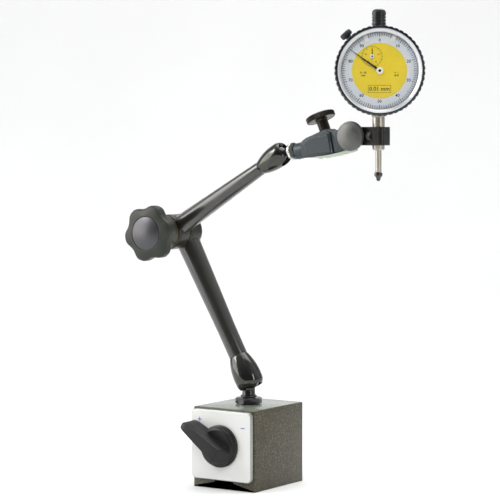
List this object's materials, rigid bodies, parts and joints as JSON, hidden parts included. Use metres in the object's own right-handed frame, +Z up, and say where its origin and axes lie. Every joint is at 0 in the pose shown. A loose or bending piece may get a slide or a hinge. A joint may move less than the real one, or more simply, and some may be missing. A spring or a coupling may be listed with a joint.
{
  "type": "dial indicator on magnetic base",
  "caption": "Plunger dial indicator clamped by its stem to an articulated, single-knob locking arm on a switchable magnetic base with a V groove",
  "frame": {"origin": "centre of the underside of the magnetic base, in the plane it stands on", "axes": "+Z up, the white face plate and its lever look to -Y, the lower arm leans to -X and the upper arm reaches to +X"},
  "size_m": [0.2158, 0.0815, 0.3198],
  "materials": {
    "base_sides": "hammertone enamel",
    "base_ground_top": "ground and lacquered",
    "face_white": "white satin",
    "black_oxide": "blackened steel, glossy",
    "lever_black": "moulded, matte",
    "turned_steel": "turned",
    "magnet": "sintered ferrite",
    "black_chrome": "dark polished plating",
    "arm_tube": "black satin",
    "arm_knuckle": "black semi-gloss",
    "seat_bronze": "turned",
    "collar_black": "blackened, ringed",
    "knob_grip": "moulded, semi-matte",
    "knob_cap_metal": "domed, satin",
    "nickel": "bright nickel",
    "head_casting": "die-cast, grey",
    "spring_steel": "blued to bright",
    "knurled_dark": "knurled, blackened",
    "knurled_grey": "knurled, satin",
    "jaw_black": "black satin",
    "case_black": "fine black satin",
    "ground_steel": "ground",
    "contact_black": "polished black",
    "ring_plated": "bright plated",
    "lens_clear": "clear",
    "dial_white": "pale printed scale",
    "dial_yellow": "yellow printed centre",
    "movement_brass": "lacquered",
    "hand_dark": "black enamel",
    "limit_white": "white enamel"
  },
  "bodies": {
    "base": {"pole_left": "base_sides", "pole_right": "base_sides", "pole_spacer": "base_ground_top", "face_plate": "face_white", "rear_cover": "base_ground_top", "lock_nut": "black_oxide"},
    "switch": {"switch_lever": "lever_black", "rotor_shaft": "turned_steel", "magnet_rotor": "magnet"},
    "ball_post": {"ball_stud": "black_oxide"},
    "lower_arm": {"lower_socket": "black_chrome", "lower_tube": "arm_tube", "lower_knuckle": "arm_knuckle", "elbow_bolt": "black_oxide"},
    "lower_rod": {"lower_seat": "seat_bronze", "lower_push_rod": "turned_steel"},
    "elbow_clamp": {"elbow_collar": "collar_black", "elbow_wedge": "turned_steel"},
    "elbow_knob": {"star_knob": "knob_grip", "knob_cap": "knob_cap_metal"},
    "upper_arm": {"upper_knuckle": "arm_knuckle", "upper_tube": "arm_tube", "upper_socket": "black_chrome"},
    "upper_rod": {"upper_push_rod": "turned_steel", "upper_seat": "seat_bronze"},
    "head_ball": {"head_stud": "black_oxide"},
    "head": {"head_nut": "nickel", "head_body": "head_casting", "leaf_spring": "spring_steel", "leaf_screws": "turned_steel"},
    "fine_tip": {"fine_screw_tip": "seat_bronze"},
    "fine_knob": {"fine_screw": "knurled_dark"},
    "carrier": {"head_carrier": "head_casting"},
    "jaw_block": {"jaw": "jaw_black"},
    "jaw_clamp": {"jaw_washer": "turned_steel"},
    "jaw_clamp_knob": {"jaw_knob": "knurled_grey"},
    "indicator": {"indicator_case": "case_black", "back_cover": "case_black", "back_cover_screws": "turned_steel", "stem": "ground_steel", "top_cap": "case_black", "movement_plate": "movement_brass", "movement_bridge": "movement_brass", "dial_centre": "dial_yellow", "return_spring": "spring_steel"},
    "plunger": {"spindle": "ground_steel", "rack": "ground_steel", "guide_arm": "ground_steel", "contact_point": "contact_black"},
    "rim": {"bezel": "case_black", "bezel_ring": "ring_plated", "lens": "lens_clear", "dial_ring": "dial_white"},
    "rim_clamp": {"bezel_clamp": "knurled_dark"},
    "limit_left": {"limit_hand_left": "limit_white"},
    "limit_right": {"limit_hand_right": "limit_white"},
    "pointer": {"main_hand": "hand_dark", "centre_pinion": "movement_brass"},
    "counter": {"small_hand": "hand_dark", "drive_wheel": "movement_brass"}
  },
  "joints": [
    {"name": "switch_turn", "type": "hinge", "parent": "base", "child": "switch", "pos_m": [0, 0, 0.03], "axis": [0, 1, 0], "range_deg": [0, 110]},
    {"name": "stand_swing", "type": "hinge", "parent": "base", "child": "ball_post", "pos_m": [0, 0, 0.055], "axis": [0, 0, 1], "range_deg": [-120, 120]},
    {"name": "lower_tilt", "type": "hinge", "parent": "ball_post", "child": "lower_arm", "pos_m": [0, 0, 0.072], "axis": [0, 1, 0], "range_deg": [-40, 25]},
    {"name": "elbow_turn", "type": "hinge", "parent": "lower_arm", "child": "upper_arm", "pos_m": [-0.05475, 0, 0.17199], "axis": [0, 1, 0], "range_deg": [-75, 25]},
    {"name": "elbow_clamp_slide", "type": "slide", "parent": "lower_arm", "child": "elbow_clamp", "axis": [0, -1, 0], "range_m": [0, 0.000625]},
    {"name": "elbow_knob_turn", "type": "hinge", "parent": "elbow_clamp", "child": "elbow_knob", "pos_m": [-0.05475, 0, 0.17199], "axis": [0, -1, 0], "range_deg": [0, 180]},
    {"name": "lower_rod_slide", "type": "slide", "parent": "lower_arm", "child": "lower_rod", "axis": [-0.4802, 0, 0.8771], "range_m": [0, 0.00045475]},
    {"name": "upper_rod_slide", "type": "slide", "parent": "upper_arm", "child": "upper_rod", "axis": [-0.8554, 0, -0.518], "range_m": [0, 0.00045475]},
    {"name": "head_tilt", "type": "hinge", "parent": "upper_arm", "child": "head_ball", "pos_m": [0.03421, -0.014, 0.22587], "axis": [0, 1, 0], "range_deg": [-30, 30]},
    {"name": "head_roll", "type": "hinge", "parent": "head_ball", "child": "head", "pos_m": [0.03421, -0.014, 0.22587], "axis": [0.9799, 0, 0.1994], "range_deg": [-90, 90]},
    {"name": "fine_tip_slide", "type": "slide", "parent": "head", "child": "fine_tip", "axis": [-0.3907, 0, 0.9205], "range_m": [-0.00020833, 0.00020833]},
    {"name": "fine_screw_turn", "type": "hinge", "parent": "fine_tip", "child": "fine_knob", "pos_m": [0.07011, -0.014, 0.24154], "axis": [-0.3907, 0, 0.9205], "range_deg": [-150, 150]},
    {"name": "fine_tilt", "type": "hinge", "parent": "head", "child": "carrier", "pos_m": [0.08008, -0.014, 0.22612], "axis": [0, 1, 0], "range_deg": [-2.52, 2.52], "deforming": ["leaf_spring"]},
    {"name": "jaw_swivel", "type": "hinge", "parent": "carrier", "child": "jaw_block", "pos_m": [0.09507, -0.014, 0.23825], "axis": [0, 1, 0], "range_deg": [-20, 30]},
    {"name": "jaw_clamp_slide", "type": "slide", "parent": "jaw_block", "child": "jaw_clamp", "axis": [0, -1, 0], "range_m": [0, 0.0004]},
    {"name": "jaw_knob_turn", "type": "hinge", "parent": "jaw_clamp", "child": "jaw_clamp_knob", "pos_m": [0.09507, -0.014, 0.23825], "axis": [0, -1, 0], "range_deg": [0, 180]},
    {"name": "indicator_turn", "type": "hinge", "parent": "jaw_block", "child": "indicator", "pos_m": [0.11037, -0.014, 0.23825], "axis": [0, 0, 1], "range_deg": [-120, 120]},
    {"name": "spindle_slide", "type": "slide", "parent": "indicator", "child": "plunger", "axis": [0, 0, 1], "range_m": [0, 0.01], "stiffness_N_per_m": 60, "springref_m": -0.012, "deforming": ["return_spring"]},
    {"name": "main_hand_turn", "type": "hinge", "parent": "indicator", "child": "pointer", "pos_m": [0.11037, -0.014, 0.28005], "axis": [0.5577, -0.83, 0], "range_deg": [-3600, 0]},
    {"name": "small_hand_turn", "type": "hinge", "parent": "indicator", "child": "counter", "pos_m": [0.10638, -0.01668, 0.28925], "axis": [0.5577, -0.83, 0], "range_deg": [0, 360]},
    {"name": "bezel_turn", "type": "hinge", "parent": "indicator", "child": "rim", "pos_m": [0.11037, -0.014, 0.28005], "axis": [0.5577, -0.83, 0], "continuous": true},
    {"name": "bezel_clamp_turn", "type": "hinge", "parent": "indicator", "child": "rim_clamp", "pos_m": [0.11037, -0.014, 0.28005], "axis": [-0.5543, -0.3725, 0.7443], "range_deg": [-90, 90]},
    {"name": "limit_left_turn", "type": "hinge", "parent": "rim", "child": "limit_left", "pos_m": [0.11037, -0.014, 0.28005], "axis": [0.5577, -0.83, 0], "range_deg": [-30, 140]},
    {"name": "limit_right_turn", "type": "hinge", "parent": "rim", "child": "limit_right", "pos_m": [0.11037, -0.014, 0.28005], "axis": [0.5577, -0.83, 0], "range_deg": [-140, 30]}
  ],
  "couplings": [
    {"joint": "elbow_knob_turn", "follows": "elbow_clamp_slide", "rad_per_m": 5026.5},
    {"joint": "lower_rod_slide", "follows": "elbow_clamp_slide", "ratio": 0.7276},
    {"joint": "upper_rod_slide", "follows": "elbow_clamp_slide", "ratio": 0.7276},
    {"joint": "fine_screw_turn", "follows": "fine_tip_slide", "rad_per_m": 12566},
    {"joint": "fine_tilt", "follows": "fine_tip_slide", "rad_per_m": 211.35},
    {"joint": "jaw_knob_turn", "follows": "jaw_clamp_slide", "rad_per_m": 7854},
    {"joint": "main_hand_turn", "follows": "spindle_slide", "rad_per_m": -6283.2},
    {"joint": "small_hand_turn", "follows": "spindle_slide", "rad_per_m": 628.32}
  ]
}
